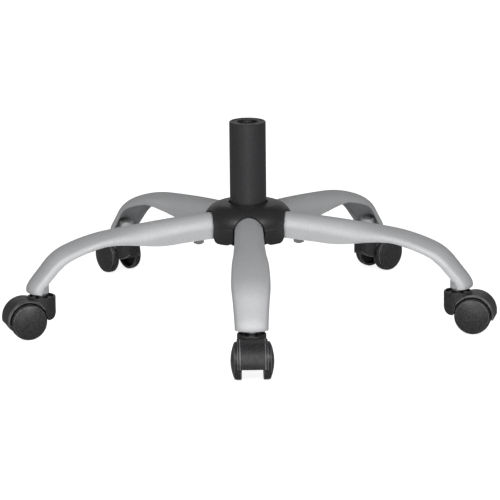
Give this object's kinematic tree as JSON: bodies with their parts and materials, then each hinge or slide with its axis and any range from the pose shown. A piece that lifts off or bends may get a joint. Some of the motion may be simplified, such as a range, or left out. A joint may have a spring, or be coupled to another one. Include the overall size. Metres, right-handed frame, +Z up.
{
  "type": "swivel stool base",
  "caption": "Star-shaped castor base of a swivel stool: pressed metallic legs on twin-wheel castors, moulded hub cover and a gas-lift column that rises, turns and takes a tapered seat socket.",
  "frame": {"origin": "on the column's axis, at floor level", "axes": "+Z up along the column, first leg along -Y"},
  "size_m": [0.6726, 0.6412, 0.2732],
  "materials": {
    "leg_paint": "satin silver metallic paint",
    "zinc_steel": "bright zinc plate",
    "mill_steel": "black primer on welded steel",
    "moulded_black": "satin moulded polypropylene",
    "column_black": "satin black powder coat",
    "bush_plastic": "moulded acetal",
    "bearing_steel": "ground steel",
    "hard_chrome": "ground hard chrome",
    "seal_rubber": "moulded nitrile rubber",
    "alloy": "turned aluminium",
    "button_plastic": "moulded black plastic",
    "castor_nylon": "fine-grained moulded nylon",
    "wheel_nylon": "fine-grained moulded nylon"
  },
  "bodies": {
    "base": {"leg_1": "leg_paint", "leg_2": "leg_paint", "leg_3": "leg_paint", "leg_4": "leg_paint", "leg_5": "leg_paint", "castor_sockets": "leg_paint", "castor_stems": "zinc_steel", "stem_grip_rings": "zinc_steel", "hub_sleeve": "mill_steel", "hub_arms": "mill_steel", "leg_studs": "zinc_steel", "leg_washers": "zinc_steel", "leg_nuts": "zinc_steel", "hub_cover": "moulded_black", "column_tube": "column_black", "guide_bush": "bush_plastic", "bearing_lower_race": "bearing_steel"},
    "spindle": {"piston_rod": "hard_chrome", "piston": "bush_plastic", "piston_seal": "seal_rubber", "rod_clip": "zinc_steel", "bump_stop": "seal_rubber", "bearing_upper_race": "bearing_steel"},
    "ball_cage": {"bearing_cage": "bush_plastic", "bearing_balls": "bearing_steel"},
    "gas_cylinder": {"gas_cylinder": "hard_chrome", "rod_seal": "seal_rubber", "rod_gland": "alloy", "valve_block": "alloy"},
    "release_button": {"release_button": "button_plastic"},
    "castor_1": {"castor_1_hood": "castor_nylon", "castor_1_axle": "zinc_steel"},
    "castor_1_wheel_left": {"castor_1_wheel_left": "wheel_nylon"},
    "castor_1_wheel_right": {"castor_1_wheel_right": "wheel_nylon"},
    "castor_2": {"castor_2_hood": "castor_nylon", "castor_2_axle": "zinc_steel"},
    "castor_2_wheel_left": {"castor_2_wheel_left": "wheel_nylon"},
    "castor_2_wheel_right": {"castor_2_wheel_right": "wheel_nylon"},
    "castor_3": {"castor_3_hood": "castor_nylon", "castor_3_axle": "zinc_steel"},
    "castor_3_wheel_left": {"castor_3_wheel_left": "wheel_nylon"},
    "castor_3_wheel_right": {"castor_3_wheel_right": "wheel_nylon"},
    "castor_4": {"castor_4_hood": "castor_nylon", "castor_4_axle": "zinc_steel"},
    "castor_4_wheel_left": {"castor_4_wheel_left": "wheel_nylon"},
    "castor_4_wheel_right": {"castor_4_wheel_right": "wheel_nylon"},
    "castor_5": {"castor_5_hood": "castor_nylon", "castor_5_axle": "zinc_steel"},
    "castor_5_wheel_left": {"castor_5_wheel_left": "wheel_nylon"},
    "castor_5_wheel_right": {"castor_5_wheel_right": "wheel_nylon"}
  },
  "joints": [
    {"name": "column_swivel", "type": "hinge", "parent": "base", "child": "spindle", "pos_m": [0, 0, 0.11067], "axis": [0, 0, 1], "continuous": true},
    {"name": "ball_cage_spin", "type": "hinge", "parent": "base", "child": "ball_cage", "pos_m": [0, 0, 0.10745], "axis": [0, 0, 1], "continuous": true},
    {"name": "height_slide", "type": "slide", "parent": "spindle", "child": "gas_cylinder", "axis": [0, 0, 1], "range_m": [0, 0.11]},
    {"name": "release_press", "type": "slide", "parent": "gas_cylinder", "child": "release_button", "axis": [0, 0, -1], "range_m": [0, 0.0025], "stiffness_N_per_m": 1500},
    {"name": "castor_1_swivel", "type": "hinge", "parent": "base", "child": "castor_1", "pos_m": [0, -0.29647, 0.055], "axis": [0, 0, 1], "continuous": true},
    {"name": "castor_1_roll_left", "type": "hinge", "parent": "castor_1", "child": "castor_1_wheel_left", "pos_m": [0.0004, -0.31947, 0.025], "axis": [0.9998, 0.0175, 0], "continuous": true},
    {"name": "castor_1_roll_right", "type": "hinge", "parent": "castor_1", "child": "castor_1_wheel_right", "pos_m": [0.0004, -0.31947, 0.025], "axis": [0.9998, 0.0175, 0], "continuous": true},
    {"name": "castor_2_swivel", "type": "hinge", "parent": "base", "child": "castor_2", "pos_m": [0.28196, -0.09161, 0.055], "axis": [0, 0, 1], "continuous": true},
    {"name": "castor_2_roll_left", "type": "hinge", "parent": "castor_2", "child": "castor_2_wheel_left", "pos_m": [0.30437, -0.09679, 0.025], "axis": [0.225, 0.9744, 0], "continuous": true},
    {"name": "castor_2_roll_right", "type": "hinge", "parent": "castor_2", "child": "castor_2_wheel_right", "pos_m": [0.30437, -0.09679, 0.025], "axis": [0.225, 0.9744, 0], "continuous": true},
    {"name": "castor_3_swivel", "type": "hinge", "parent": "base", "child": "castor_3", "pos_m": [0.17426, 0.23985, 0.055], "axis": [0, 0, 1], "continuous": true},
    {"name": "castor_3_roll_left", "type": "hinge", "parent": "castor_3", "child": "castor_3_wheel_left", "pos_m": [0.19162, 0.25494, 0.025], "axis": [-0.6561, 0.7547, 0], "continuous": true},
    {"name": "castor_3_roll_right", "type": "hinge", "parent": "castor_3", "child": "castor_3_wheel_right", "pos_m": [0.19162, 0.25494, 0.025], "axis": [-0.6561, 0.7547, 0], "continuous": true},
    {"name": "castor_4_swivel", "type": "hinge", "parent": "base", "child": "castor_4", "pos_m": [-0.17426, 0.23985, 0.055], "axis": [0, 0, 1], "continuous": true},
    {"name": "castor_4_roll_left", "type": "hinge", "parent": "castor_4", "child": "castor_4_wheel_left", "pos_m": [-0.18745, 0.25869, 0.025], "axis": [-0.8192, -0.5736, 0], "continuous": true},
    {"name": "castor_4_roll_right", "type": "hinge", "parent": "castor_4", "child": "castor_4_wheel_right", "pos_m": [-0.18745, 0.25869, 0.025], "axis": [-0.8192, -0.5736, 0], "continuous": true},
    {"name": "castor_5_swivel", "type": "hinge", "parent": "base", "child": "castor_5", "pos_m": [-0.28196, -0.09161, 0.055], "axis": [0, 0, 1], "continuous": true},
    {"name": "castor_5_roll_left", "type": "hinge", "parent": "castor_5", "child": "castor_5_wheel_left", "pos_m": [-0.30388, -0.09857, 0.025], "axis": [0.3024, -0.9532, 0], "continuous": true},
    {"name": "castor_5_roll_right", "type": "hinge", "parent": "castor_5", "child": "castor_5_wheel_right", "pos_m": [-0.30388, -0.09857, 0.025], "axis": [0.3024, -0.9532, 0], "continuous": true}
  ],
  "couplings": [
    {"joint": "ball_cage_spin", "follows": "column_swivel", "ratio": 0.5}
  ]
}
